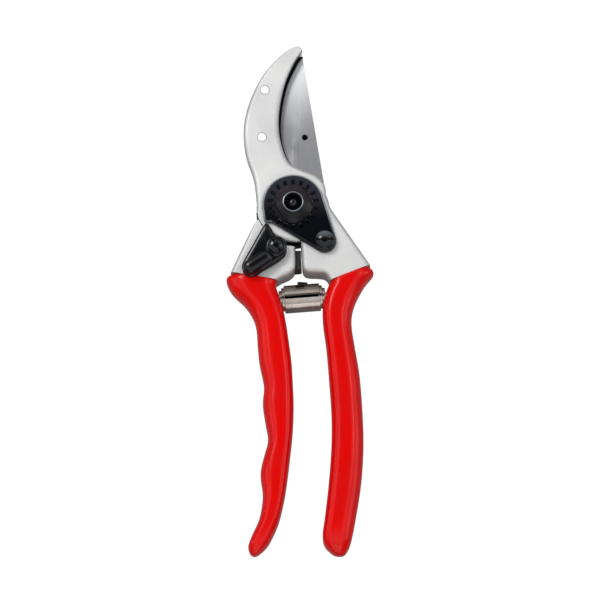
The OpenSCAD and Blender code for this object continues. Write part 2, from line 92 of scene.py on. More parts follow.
def curve(points: list[tuple[float, ...]], steps: int) -> list[tuple[float, ...]]:
    """Run a Catmull-Rom curve through points.

    Args:
        points: The points that the curve passes through, each of any number of values.
        steps: How many spans each gap is cut into.

    Returns:
        The points along the curve, its ends included.
    """
    last = len(points) - 1
    out: list[tuple[float, ...]] = []
    for i in range(last):
        four = [points[max(i - 1, 0)], points[i], points[i + 1], points[min(i + 2, last)]]
        for k in range(steps):
            t = k / steps
            out.append(tuple(
                0.5 * (2 * b + (c - a) * t + (2 * a - 5 * b + 4 * c - d) * t * t
                       + (3 * b - a - 3 * c + d) * t ** 3)
                for a, b, c, d in zip(*four)))
    out.append(tuple(points[last]))
    return out


def arc(radius: float, start: float, end: float, steps: int, centre: Point = (0, 0)) -> list[Point]:
    """Points on a circle's arc.

    Args:
        radius: The circle's radius.
        start: The first point's angle in degrees.
        end: The last point's angle in degrees.
        steps: How many spans the arc has.
        centre: The circle's centre.

    Returns:
        The arc's points, both ends included.
    """
    angles = [math.radians(start + (end - start) * k / steps) for k in range(steps + 1)]
    return [(centre[0] + radius * math.cos(a), centre[1] + radius * math.sin(a)) for a in angles]


def new_ring(name: str, points: list[Triple], filled: bool) -> bpy.types.Object:
    """Add a circle primitive and lay its corners on given points.

    Args:
        name: The piece's name.
        points: The corners' places in millimetres.
        filled: Whether the ring is closed by one face.

    Returns:
        The new object, in edit mode with everything selected.
    """
    deselect()
    kind = "NGON" if filled else "NOTHING"
    bpy.ops.mesh.primitive_circle_add(vertices=len(points), radius=1, fill_type=kind, location=(0, 0, 0))
    piece = bpy.context.active_object
    piece.name = piece.data.name = name
    for vertex, place in zip(piece.data.vertices, points):
        vertex.co = Vector(place) * MM
    bpy.ops.object.mode_set(mode="EDIT")
    bpy.ops.mesh.select_all(action="SELECT")
    return piece


def leave_edit(piece: bpy.types.Object, weld: float = 0.001) -> bpy.types.Object:
    """Merge doubled corners, turn all faces outwards and leave edit mode.

    Args:
        piece: The object in edit mode.
        weld: The merging distance in millimetres.

    Returns:
        The same object.
    """
    bpy.ops.mesh.select_all(action="SELECT")
    bpy.ops.mesh.remove_doubles(threshold=weld * MM)
    bpy.ops.mesh.normals_make_consistent(inside=False)
    bpy.ops.object.mode_set(mode="OBJECT")
    return piece


def prism(name: str, outline: list[Point], low: float, high: float) -> bpy.types.Object:
    """Extrude an outline upwards.

    Args:
        name: The piece's name.
        outline: The outline's corners in millimetres.
        low: Height of the lower face.
        high: Height of the upper face.

    Returns:
        The closed prism.
    """
    piece = new_ring(name, [(x, y, low) for x, y in outline], True)
    bpy.ops.mesh.extrude_region_move(TRANSFORM_OT_translate={"value": (0, 0, (high - low) * MM)})
    return leave_edit(piece)


def spun(name: str, profile: list[Point], centre: Point, steps: int = 48) -> bpy.types.Object:
    """Spin a closed profile about an upright axis.

    Args:
        name: The piece's name.
        profile: Corners as (radius, height), all the way round, in millimetres.
        centre: Where the axis stands.
        steps: How many steps make the full turn.

    Returns:
        The turned piece.
    """
    piece = new_ring(name, [(centre[0] + r, centre[1], z) for r, z in profile], False)
    bpy.ops.mesh.spin(steps=steps, angle=math.tau, center=(centre[0] * MM, centre[1] * MM, 0), axis=(0, 0, 1))
    return leave_edit(piece)


def loft(name: str, rings: list[list[Triple]]) -> bpy.types.Object:
    """Extrude one ring through a row of others and close both ends.

    Args:
        name: The piece's name.
        rings: Rings with equal numbers of corners, in millimetres.

    Returns:
        The closed loft.
    """
    count = len(rings[0])
    piece = new_ring(name, rings[0], False)
    bpy.ops.mesh.edge_face_add()
    bpy.ops.object.mode_set(mode="OBJECT")
    for index, ring in enumerate(rings[1:], start=1):
        bpy.ops.object.mode_set(mode="EDIT")
        bpy.ops.mesh.extrude_region_move(TRANSFORM_OT_translate={"value": (0, 0, MM)})
        bpy.ops.object.mode_set(mode="OBJECT")
        for vertex, place in zip(piece.data.vertices[index * count:], ring):
            vertex.co = Vector(place) * MM
    bpy.ops.object.mode_set(mode="EDIT")
    return leave_edit(piece)


def apply(piece: bpy.types.Object, kind: str, **settings: object) -> bpy.types.Object:
    """Add a modifier, set it and apply it.

    Args:
        piece: The object to change.
        kind: Blender's name for the modifier's type.
        settings: The modifier's values.

    Returns:
        The same object.
    """
    activate(piece)
    modifier = piece.modifiers.new(kind.lower(), kind)
    for key, value in settings.items():
        setattr(modifier, key, value)
    bpy.ops.object.modifier_apply(modifier=modifier.name)
    return piece


def round_edges(piece: bpy.types.Object, width: float, segments: int = 3,
                angle: float = 35) -> bpy.types.Object:
    """Round every edge sharper than an angle.

    Args:
        piece: The object to change.
        width: The rounding's width in millimetres.
        segments: How many facets make the round.
        angle: The least angle in degrees that counts as an edge.

    Returns:
        The same object.
    """
    return apply(piece, "BEVEL", width=width * MM, segments=segments, limit_method="ANGLE",
                 angle_limit=math.radians(angle), use_clamp_overlap=True, miter_outer="MITER_ARC")


def cut(piece: bpy.types.Object, *cutters: bpy.types.Object) -> bpy.types.Object:
    """Take cutters away from a piece, one after another, and delete them.

    Args:
        piece: The object to cut.
        cutters: Closed objects.

    Returns:
        The cut piece.
    """
    for cutter in cutters:
        apply(piece, "BOOLEAN", operation="DIFFERENCE", solver="EXACT", object=cutter)
        bpy.data.objects.remove(cutter)
    return piece


def bar(size: Triple, centre: Triple, turn: float = 0) -> bpy.types.Object:
    """A box used for cutting.

    Args:
        size: Its sides in millimetres.
        centre: Its centre in millimetres.
        turn: Its turn about the upright axis, in degrees.

    Returns:
        The box, with its place in its mesh.
    """
    deselect()
    bpy.ops.mesh.primitive_cube_add(size=1, location=[v * MM for v in centre], scale=[v * MM for v in size],
                                    rotation=(0, 0, math.radians(turn)))
    bpy.ops.object.transform_apply(location=True, rotation=True, scale=True)
    return bpy.context.active_object


def copied(piece: bpy.types.Object, name: str, step: Point) -> bpy.types.Object:
    """Copy a piece with a mesh of its own and set the copy down beside it.

    Args:
        piece: The object to copy.
        name: The copy's name.
        step: How far the copy is moved in plan, in millimetres.

    Returns:
        The copy, with its place in its mesh.
    """
    activate(piece)
    bpy.ops.object.duplicate(linked=False)
    twin = bpy.context.active_object
    twin.name = twin.data.name = name
    twin.location = (step[0] * MM, step[1] * MM, 0)
    bpy.ops.object.transform_apply(location=True, rotation=False, scale=False)
    return twin


def smooth(piece: bpy.types.Object, angle: float = 35, flats: bool = False) -> bpy.types.Object:
    """Shade a piece smooth.

    Args:
        piece: The object to shade.
        angle: Edges sharper than this many degrees stay crisp.
        flats: Whether its flat faces keep a true flat shine up to their rounded edges.

    Returns:
        The same object.
    """
    activate(piece)
    bpy.ops.object.shade_smooth_by_angle(angle=math.radians(angle))
    return apply(piece, "WEIGHTED_NORMAL", keep_sharp=True, weight=100) if flats else piece


def round_rim(piece: bpy.types.Object, level: float, width: float, segments: int = 4) -> bpy.types.Object:
    """Round only the edges that lie at one height.

    Args:
        piece: The object to change.
        level: The height of the edges in millimetres.
        width: The rounding's width in millimetres.
        segments: How many facets make the round.

    Returns:
        The same object.
    """
    weights = piece.data.attributes.new("bevel_weight_edge", "FLOAT", "EDGE")
    for edge in piece.data.edges:
        heights = [piece.data.vertices[i].co.z / MM for i in edge.vertices]
        weights.data[edge.index].value = 1.0 if max(abs(h - level) for h in heights) < 0.01 else 0.0
    return apply(piece, "BEVEL", width=width * MM, segments=segments, limit_method="WEIGHT",
                 use_clamp_overlap=False)


# ---- Materials -----------------------------------------------------------------------------------


def linear(code: str) -> tuple[float, float, float, float]:
    """Turn an sRGB hex colour into linear light.

    Args:
        code: Six hex digits after a hash.

    Returns:
        Red, green, blue and alpha.
    """
    parts = [int(code[i:i + 2], 16) / 255 for i in (1, 3, 5)]
    red, green, blue = [v / 12.92 if v <= 0.04045 else ((v + 0.055) / 1.055) ** 2.4 for v in parts]
    return (red, green, blue, 1.0)


def add_node(tree: bpy.types.NodeTree, kind: str, inputs: dict[str | int, object] | None = None,
             **settings: object) -> bpy.types.Node:
    """Add a node with its settings and links.

    Args:
        tree: The node tree.
        kind: The node's type.
        inputs: For each socket, a value or the output socket that feeds it.
        settings: The node's own properties.

    Returns:
        The new node.
    """
    node = tree.nodes.new(kind)
    for key, value in settings.items():
        setattr(node, key, value)
    for key, value in (inputs or {}).items():
        if isinstance(value, bpy.types.NodeSocket):
            tree.links.new(value, node.inputs[key])
        else:
            node.inputs[key].default_value = value
    return node


@dataclass(frozen=True)
class Grain:
    """A surface's fine pattern.

    Attributes:
        size: Distance between grains in millimetres, across the direction of rubbing.
        stretch: How much longer a grain is along each axis than its size.
        height: Height of the relief in millimetres.
        detail: How many finer layers the noise has.
    """

    size: float
    stretch: Triple = (1, 1, 1)
    height: float = 0.02
    detail: float = 3


@dataclass(frozen=True)
class Finish:
    """One surface finish: what it is made of, and how it catches the light.

    Attributes:
        name: What the real thing is made of and how its surface was made.
        colour: Its usual colour.
        shade: The colour where it is worn, rubbed or dirty.
        rough: Its least and greatest roughness.
        metal: 1 for bare metal, 0 for anything else.
        grain: The fine pattern.
        patch: Distance between broad patches of change, in millimetres.
        brushed: Strength of the stretched highlights of a brushed metal.
        tip_colour: A painted highlight: the colour that it turns to towards the blade's tip, or nothing.
        tip_span: Where that change starts and ends along the shears, in millimetres.
        gloss: How much light a non-metal reflects, 0.5 being usual.
    """

    name: str
    colour: str
    shade: str
    rough: tuple[float, float]
    metal: float = 0.0
    grain: Grain = field(default_factory=lambda: Grain(0.5))
    patch: float = 18.0
    brushed: float = 0.0
    tip_colour: str = ""
    tip_span: Point = (30, 70)
    gloss: float = 0.5

    def material(self) -> bpy.types.Material:
        """Make the finish's material, or find it if it was made before.

        Returns:
            The material: a fine grain and broad patches that change colour, roughness and relief, and a
                painted highlight towards the blade's tip where the finish has a tip colour.
        """
        made = bpy.data.materials.get(self.name)
        if made:
            return made
        made = bpy.data.materials.new(self.name)
        made.use_nodes = True
        tree = made.node_tree
        shader = tree.nodes["Principled BSDF"]
        place = add_node(tree, "ShaderNodeTexCoord").outputs["Object"]
        scale = [1000 / (self.grain.size * s) for s in self.grain.stretch]
        stretched = add_node(tree, "ShaderNodeMapping", {"Vector": place, "Scale": scale})
        fine = add_node(tree, "ShaderNodeTexNoise", {"Vector": stretched.outputs[0], "Scale": 1.0,
                                                    "Detail": self.grain.detail, "Roughness": 0.55})
        broad = add_node(tree, "ShaderNodeTexNoise", {"Vector": place, "Scale": 1000 / self.patch,
                                                     "Detail": 2.0})
        both = add_node(tree, "ShaderNodeMath", {0: fine.outputs[0], 1: broad.outputs[0]}, operation="ADD")
        spread = {"Value": both.outputs[0], "From Min": 0.7, "From Max": 1.3}
        share = add_node(tree, "ShaderNodeMapRange", spread)
        mix = add_node(tree, "ShaderNodeMix", {"Factor": share.outputs[0], 6: linear(self.colour),
                                               7: linear(self.shade)}, data_type="RGBA")
        rough = add_node(tree, "ShaderNodeMapRange", {**spread, "To Min": self.rough[0],
                                                      "To Max": self.rough[1]})
        bump = add_node(tree, "ShaderNodeBump", {"Height": fine.outputs[0], "Strength": 0.6,
                                                 "Distance": self.grain.height * MM})
        colour = mix.outputs[2]
        # Painted highlight: the colour pales towards the blade's tip across tip_span.
        if self.tip_colour:
            height = add_node(tree, "ShaderNodeSeparateXYZ", {0: place}).outputs[1]
            start, end = self.tip_span
            along = add_node(tree, "ShaderNodeMapRange",
                             {"Value": height, "From Min": start * MM, "From Max": end * MM},
                             interpolation_type="SMOOTHSTEP")
            faded = add_node(tree, "ShaderNodeMix", {"Factor": along.outputs[0], 6: colour,
                                                     7: linear(self.tip_colour)}, data_type="RGBA")
            colour = faded.outputs[2]
        tree.links.new(colour, shader.inputs["Base Color"])
        tree.links.new(rough.outputs[0], shader.inputs["Roughness"])
        tree.links.new(bump.outputs[0], shader.inputs["Normal"])
        shader.inputs["Metallic"].default_value = self.metal
        shader.inputs["Anisotropic"].default_value = self.brushed
        if not self.metal:
            shader.inputs["Specular IOR Level"].default_value = self.gloss
        return made


# Forged aluminium, blasted and tumbled: an even pale satin with a very fine pebble.
FORGED_ALUMINIUM = Finish("forged_aluminium_tumbled", "#DADAD9", "#CFCFCF", (0.6, 0.7), 1.0,
                          Grain(0.45, height=0.012))
# Painted shade: the same aluminium made dark, for the faces deep in the pockets and the seams round the
# rivets.
PAINTED_SHADE_ALUMINIUM = Finish("aluminium_painted_shade", "#3A3A3B", "#161617", (0.45, 0.6), 1.0,
                         Grain(0.3, height=0.01), 6)
# Tool steel ground along its length: darker grey with long fine scratches, and a painted reflection that
# pales it towards the tip.
GROUND_STEEL = Finish("tool_steel_ground_painted_tip_highlight", "#A2A2A6", "#88898E", (0.4, 0.55), 1.0,
                      Grain(0.22, (1, 50, 1), 0.01, 2), 9, brushed=0.4, tip_colour="#DCDEE1")
# Steel dressed flush or left bright, as on the rivets, washers and pegs: nearly white.
POLISHED_STEEL = Finish("steel_dressed_flush", "#FCFDFF", "#EEF1F4", (0.6, 0.75), 1.0,
                        Grain(0.3, height=0.003))
# Blackened and oiled steel: navy black with soft highlights and a faint pebble.
BLACK_STEEL = Finish("steel_blackened", "#070A12", "#030508", (0.08, 0.17), 0.0,
                     Grain(0.35, height=0.002), 7, gloss=0.36)
# The locking plate's blackening: deep navy, with a painted sheen of purple grey round the nut that fades out
# towards its screw.
PLATE_STEEL = Finish("steel_blackened_plate_painted_sheen", "#070A12", "#030508", (0.12, 0.2), 0.0,
                     Grain(0.35, height=0.002), 7, tip_colour="#2C2D36", tip_span=(-7, 7), gloss=0.3)
# The locking plate's rounded edge: a painted highlight, a thin grey outline that is brightest towards the
# blade.
PLATE_EDGE_HIGHLIGHT = Finish("steel_blackened_edge_painted_highlight", "#14181D", "#0C0F13", (0.25, 0.35), 0.0,
                    Grain(0.3, height=0.002), 5, tip_colour="#8E959B", tip_span=(-16, 2), gloss=0.36)
# Turned and blackened steel: satin black, with a painted sheen that pales it towards the blade.
TURNED_STEEL = Finish("steel_blackened_turned_painted_sheen", "#0A0810", "#060509", (0.3, 0.42), 0.0,
                      Grain(0.3, height=0.002), 6, tip_colour="#2A242B", tip_span=(-5, 8), gloss=0.28)
# A blackened screw: a dark dome with a painted highlight that pales it on one side of its slot.
SCREW_HIGHLIGHT_STEEL = Finish("steel_blackened_screw_painted_highlight", "#070A12", "#030508", (0.1, 0.2), 0.0,
                      Grain(0.35, height=0.002), 7, tip_colour="#5A6068", tip_span=(-15.2, -12.0), gloss=0.36)
# A painted highlight: bare grey steel along the nut collar's top edge.
COLLAR_HIGHLIGHT_STEEL = Finish("steel_collar_painted_highlight", "#99A0A6", "#5C6168", (0.25, 0.4), 1.0,
                    Grain(0.3, height=0.004), 4)
# Bright nickel on spring strip: mirror-like with drawing marks along the spring.
NICKEL_STRIP = Finish("spring_steel_nickelled", "#B8B0A9", "#958C85", (0.1, 0.24), 1.0,
                      Grain(0.2, (12, 1, 1), 0.004, 2), 6)
# Vinyl dip: bright red, thick and wet-looking, with slow waves where it ran.
RED_VINYL = Finish("vinyl_dipped", "#DE0200", "#D20000", (0.18, 0.26), 0.0,
                   Grain(5.0, (1, 2.5, 1), 0.06, 1), 30, gloss=0.22)
# Moulded black nylon: smooth with a dull gloss.
BLACK_NYLON = Finish("nylon_moulded", "#080A10", "#040508", (0.12, 0.24), 0.0,
                     Grain(0.4, height=0.002), 8, gloss=0.36)
# Moulded rubber: matte and slightly grey where it is rubbed.
RUBBER = Finish("rubber_moulded", "#111112", "#1B1B1C", (0.6, 0.78), 0.0, Grain(0.3, height=0.02))
# Sintered bronze, dark with oil.
BRONZE = Finish("bronze_sintered", "#A97C4A", "#7E5A33", (0.35, 0.5), 1.0, Grain(0.15, height=0.01))


def finish_piece(piece: bpy.types.Object, finish: Finish, half: Half, slot: str,
                 *nodes: str) -> bpy.types.Object:
    """Dress a piece, put it on its body and hide the frame nodes that it stands for.

    Args:
        piece: The finished mesh.
        finish: Its surface.
        half: The body it moves with.
        slot: The record's material slot; not used.
        nodes: The frame nodes that it replaces.

    Returns:
        The same piece.
    """
    piece.data.materials.clear()
    piece.data.materials.append(finish.material())
    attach(piece, half.value)
    if nodes:
        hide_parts(*nodes)
    log.info("%s: %d faces on %s", piece.name, len(piece.data.polygons), half.value)
    return piece


@dataclass
class Levels:
    """Heights of the shears' layers above the plane they rest on, in millimetres."""

    back: float = 1.2
    blade: float = 7.7
    hook_back: float = 11.05
    front: float = 15.8
    plate_top: float = 18.0
    nut_top: float = 22.7
    grip: float = 17.0
    catch: float = 17.3
    catch_top: float = 19.3


LEVELS = Levels()

# The castings' round heads about the pivot, the pockets that they turn in, and how far the painted shade in
# those pockets reaches.
HEAD_RADIUS = 15.2
HOOK_POCKET_RADIUS = 16.0
BLADE_POCKET_RADIUS = 15.4
PAINTED_SHADE_REACH = 17.25


# ---- Castings ------------------------------------------------------------------------------------


@dataclass
class Casting:
    """A forged handle casting: an outline with rounded rims and flat machined pockets.

    Attributes:
        name: The piece's name.
        outline: Its whole outline seen from above.
        half: The body it moves with.
        node: The frame node it stands for.
        mouth: The two ends of the line where it runs into its grip.
        rounding: Width of its rounded edges.
        joint: Where the two castings' outer edges meet, and their rims fade out.
    """

    name: str
    outline: list[Point]
    half: Half
    node: str
    mouth: tuple[Point, Point]
    rounding: float = 1.9
    joint: Point = (-14.8, -6.4)

    def rim_share(self, x: float, y: float) -> float:
        """The share of full rounding that the rim gets at a place: less at the joint and the hook's tip."""
        from_joint = math.hypot(x - self.joint[0], y - self.joint[1])
        return min(0.15 + from_joint / 12, max(0.22, min(1.0, (71 - y) / 24)))

    def off_mouth(self, at: Point) -> float:
        """Distance of a place from the line where the casting runs into its grip."""
        (ax, ay), (bx, by) = self.mouth
        return abs((bx - ax) * (at[1] - ay) - (by - ay) * (at[0] - ax)) / math.hypot(bx - ax, by - ay)

    def insets(self) -> list[tuple[Vector, float]]:
        """Work out how far the rim reaches in at each corner of the outline.

        Returns:
            For each corner, the way in to the rim's inner edge and the rim's depth.
        """
        count = len(self.outline)
        out: list[tuple[Vector, float]] = []
        for i, here in enumerate(self.outline):
            before, after = self.outline[i - 1], self.outline[(i + 1) % count]
            width = self.rounding * self.rim_share(*here)
            into = (Vector(here) - Vector(before)).normalized()
            out_of = (Vector(after) - Vector(here)).normalized()
            left, right = Vector((-into.y, into.x)), Vector((-out_of.y, out_of.x))
            at_mouth = self.off_mouth(here) < 0.1
            if at_mouth and self.off_mouth(after) < 0.1:
                way = out_of * (width / max(out_of.dot(left), 0.5))
            elif at_mouth and self.off_mouth(before) < 0.1:
                way = -into * (width / max(-into.dot(right), 0.5))
            else:
                way = (left + right) * (width / max(1 + left.dot(right), 0.7))
            out.append((way, width))
        return out

    def rounded_blank(self, steps: int = 5) -> bpy.types.Object:
        """The whole outline's thickness with its front and back rims rounded.

        Args:
            steps: How many facets make a rim's quarter round.

        Returns:
            The closed blank.
        """
        insets = self.insets()
        rings: list[list[Triple]] = []
        for level, up in ((LEVELS.back, 1), (LEVELS.front, -1)):
            side: list[list[Triple]] = []
            for k in range(steps + 1):
                angle = math.pi / 2 * k / steps
                side.append([(x + way.x * (1 - math.sin(angle)), y + way.y * (1 - math.sin(angle)),
                              level + up * width * (1 - math.cos(angle)))
                             for (x, y), (way, width) in zip(self.outline, insets)])
            rings += side if up > 0 else reversed(side)
        return loft(self.name, rings)

    def machine(self, piece: bpy.types.Object) -> None:
        """Cut the pockets that the other half turns in."""
        raise NotImplementedError

    def machined(self, place: Vector) -> bool:
        """Whether a face is one that the cutter left, by its middle in millimetres; these faces get the
        painted shade.
        """
        inside = LEVELS.back + 1 < place.z < LEVELS.front - 2 and place.y < 0
        return inside and math.hypot(place.x, place.y) < PAINTED_SHADE_REACH

    def build(self) -> bpy.types.Object:
        """Loft and machine the casting, paint shade on the faces in its pockets and put it on its body.

        Returns:
            The finished casting.
        """
        piece = self.rounded_blank()
        self.machine(piece)
        smooth(piece, 28, flats=True)
        finish_piece(piece, FORGED_ALUMINIUM, self.half, "forged_aluminium", self.node)
        # Painted shade: the faces deep in the pockets take the dark aluminium.
        piece.data.materials.append(PAINTED_SHADE_ALUMINIUM.material())
        for face in piece.data.polygons:
            if self.machined(face.center / MM):
                face.material_index = 1
        return piece


class HookCasting(Casting):
    """The handle that carries the hook, over the blade in front of the pivot."""

    def machine(self, piece: bpy.types.Object) -> None:
        """Cut away all that would lie under the hook, and the blade half's round pocket.

        Args:
            piece: The rounded blank.
        """
        depth = LEVELS.hook_back + 1
        cut(piece,
            bar((120, 90, depth), (0, 43.6, LEVELS.hook_back - depth / 2)),
            prism("pocket", arc(HOOK_POCKET_RADIUS, 0, 355, 71), -1, LEVELS.hook_back))


class BladeCasting(Casting):
    """The handle that carries the blade, under the hook casting's head."""

    def machine(self, piece: bpy.types.Object) -> None:
        """Cut the flat that backs the blade, the hook head's pocket and the catch's well.

        Args:
            piece: The rounded blank.
        """
        high = LEVELS.grip + 3
        cut(piece,
            prism("pocket", arc(BLADE_POCKET_RADIUS, 0, 355, 71), LEVELS.blade, high),
            bar((120, 90, high - LEVELS.blade), (0, 44, (high + LEVELS.blade) / 2)),
            prism("swing", [(0, 0), *arc(44, 168, 203, 6)], LEVELS.blade, high),
            prism("well", [(0, 0), *arc(17.2, 236, 276, 10)], LEVELS.blade, high))


# Each list runs the way that its casting's outline does, counter-clockwise seen from above.
HOOK_BACK_EDGE: list[Point] = [(3.75, 66.9), (1.6, 68.5), (-4.6, 65), (-12.3, 56.4), (-17.8, 45.5),
                               (-20.4, 34), (-19.6, 22.4), (-16.4, 12.4), (-15.2, 4), (-14.6, -3.8)]
HOOK_INNER_EDGE: list[Point] = [(13.6, 5), (12.9, 9.6), (9.4, 13.4), (3.6, 15.8), (-1.6, 18.8), (-4.4, 25),
                                (-5.9, 33), (-5.6, 42), (-3.5, 52.3), (0.05, 61), (3.2, 66.1)]
HOOK_NECK: list[Point] = [(3.8, -25), (4.5, -26.9), (6.4, -27.8), (10, -28), (13.3, -28.6), (15.2, -31.4)]
BLADE_NECK: list[Point] = [(-6.4, -31.2), (-4.4, -30), (-1.4, -28.6), (0.6, -26.6), (0.95, -24)]


def hook_outline() -> list[Point]:
    """Draw the hook casting's outline.

    Returns:
        Its corners, counter-clockwise from the tip down the outer edge.
    """
    head = arc(HEAD_RADIUS, 197, 282, 14)
    right = curve([(31.7, -24.8), (24, -13.4), (16.6, -2.4), (14.9, 0.8), (13.6, 5)], 4)
    return [*curve(HOOK_BACK_EDGE, 5)[:-1], *head, (3.5, -19.5), *curve(HOOK_NECK, 4), *right[:-1],
            *curve(HOOK_INNER_EDGE, 5)]


def blade_outline() -> list[Point]:
    """Draw the blade casting's outline.

    Returns:
        Its corners, counter-clockwise from the shoulder's left end.
    """
    left = curve([(-14.2, -4.6), (-19.2, -14), (-25.6, -28)], 4)
    arm_end = arc(4.4, 5, 195, 14, (4.85, 30.5))
    right = arc(HEAD_RADIUS, 274, 410, 24)
    crown = arc(HEAD_RADIUS, 109, 196, 14)
    return [*left, *curve(BLADE_NECK, 4), (0.8, -18), *right, *arm_end, *crown]


# ---- Grips ---------------------------------------------------------------------------------------


@dataclass
class Grip:
    """A handle's dipped coating: a loft with a rolled lip at its mouth.

    Attributes:
        name: The piece's name.
        stations: Inner point, outer point and share of full thickness at each station.
        half: The body it moves with.
        node: The frame node it stands for.
        corner_steps: How many spans make each rounded corner of the section.
    """

    name: str
    stations: list[tuple[float, float, float, float, float]]
    half: Half
    node: str
    corner_steps: int = 7

    def section(self, half_w: float, half_t: float) -> list[Point]:
        """A rounded section with tighter corners on the inner side.

        Args:
            half_w: Half its width.
            half_t: Half its thickness.

        Returns:
            Its points as (across, up) from its middle.
        """
        inner = (half_w * 0.56, half_t * 0.62)
        outer = (half_w * 0.8, half_t * 0.82)
        corners = [(half_w - outer[0], half_t - outer[1], *outer, 0),
                   (inner[0] - half_w, half_t - inner[1], *inner, 90),
                   (inner[0] - half_w, inner[1] - half_t, *inner, 180),
                   (half_w - outer[0], outer[1] - half_t, *outer, 270)]
        points: list[Point] = []
        for cx, cz, rx, rz, start in corners:
            for k in range(self.corner_steps + 1):
                angle = math.radians(start + 90 * k / self.corner_steps)
                points.append((cx + rx * math.cos(angle), cz + rz * math.sin(angle)))
        return points

    def ring(self, station: tuple[float, ...], shrink: float = 0, shift: float = 0) -> list[Triple]:
        """Place the section at a station.

        Args:
            station: Inner point, outer point and share of thickness.
            shrink: How far the ring is drawn in all round.
            shift: How far the ring is moved down the handle.

        Returns:
            The ring's corners.
        """
        inner, outer = Vector(station[0:2]), Vector(station[2:4])
        across = (outer - inner).normalized()
        down = Vector((across.y, -across.x)) if across.x > 0 else Vector((-across.y, across.x))
        middle = (inner + outer) / 2 + down * shift
        half_t = LEVELS.grip / 2 * station[4]
        ring: list[Triple] = []
        for u, v in self.section((outer - inner).length / 2 - shrink, half_t - shrink):
            at = middle + across * u
            ring.append((at.x, at.y, LEVELS.grip / 2 + v))
        return ring

    def build(self) -> bpy.types.Object:
        """Loft the grip, smooth it and put it on its body.

        Returns:
            The finished grip.
        """
        rows = curve(self.stations, 4)
        rings = [self.ring(rows[0], 2.4, 0.3), self.ring(rows[0], 1.0, 0.02), self.ring(rows[0], 0.35, 0.15),
                 self.ring(rows[0], 0.05, 0.6)]
        rings += [self.ring(row) for row in rows[2:]]
        end = rows[-1]
        rings += [self.ring(end, 0.9, 0.5), self.ring(end, 2.0, 0.7)]
        piece = loft(self.name, rings)
        apply(piece, "SUBSURF", levels=1, render_levels=1)
        smooth(piece, 60)
        return finish_piece(piece, RED_VINYL, self.half, "red_grip", self.node)


HOOK_STATIONS = [
    (15.2, -31.4, 31.7, -24.8, 1), (14.3, -33.8, 33.2, -27.6, 1), (13.1, -37.2, 29.6, -32.2, 1),
    (12.1, -43, 25.3, -40.6, 1), (12.4, -49.6, 24, -48.6, 1), (13.6, -58.6, 25.4, -58.8, 1),
    (14.6, -70.5, 27.3, -70.5, 1), (15.7, -87, 28.5, -87, 1), (15.6, -101, 28.8, -101, 1),
    (14.5, -116, 27.8, -116, 0.97), (12.9, -130, 25.6, -130, 0.92), (12, -137, 24.2, -137.4, 0.86),
    (12.9, -141.4, 22.9, -142, 0.74), (16, -144.6, 21.2, -145, 0.44)]
BLADE_STATIONS = [
    (-6.4, -31.2, -25.6, -28, 1), (-7, -33, -27.5, -30.2, 1), (-6.2, -36, -25.2, -35.6, 1),
    (-4.4, -41.6, -19.2, -41.6, 1), (-2.8, -49, -15.4, -49, 1), (-1.4, -58.6, -14.5, -58.6, 1),
    (-0.5, -66, -13.7, -66, 1), (0, -75, -11.9, -75, 1), (0.3, -82.5, -12.4, -82.5, 1),
    (0.1, -91, -11.2, -91, 1), (-0.4, -97.8, -10.2, -97.8, 0.99), (-1.2, -105, -12, -105, 0.98),
    (-2, -112, -13.3, -112, 0.96), (-3.3, -121, -12.3, -121, 0.93), (-5.4, -130.4, -13.7, -130.4, 0.88),
    (-8, -137, -16.6, -137, 0.82), (-10.6, -141.6, -18.2, -141.6, 0.72), (-14, -145, -17.4, -144.8, 0.42)]


# ---- Pivot hardware ------------------------------------------------------------------------------


def dome(radius: float, height: float, base: float, steps: int = 6) -> list[Point]:
    """A low domed screw head's profile.

    Args:
        radius: Its radius.
        height: Its height.
        base: Height of its flat underside.
        steps: How many spans the crown has.

    Returns:
        The closed profile, as (radius, height).
    """
    wall = height * 0.35
    crown = [(radius * math.cos(a), base + wall + (height - wall) * math.sin(a))
             for a in (math.pi / 2 * k / steps for k in range(steps + 1))]
    crown[-1] = (0.0, base + height)
    return [(0.0, base), (radius * 0.94, base), (radius, base + wall * 0.4), *crown]


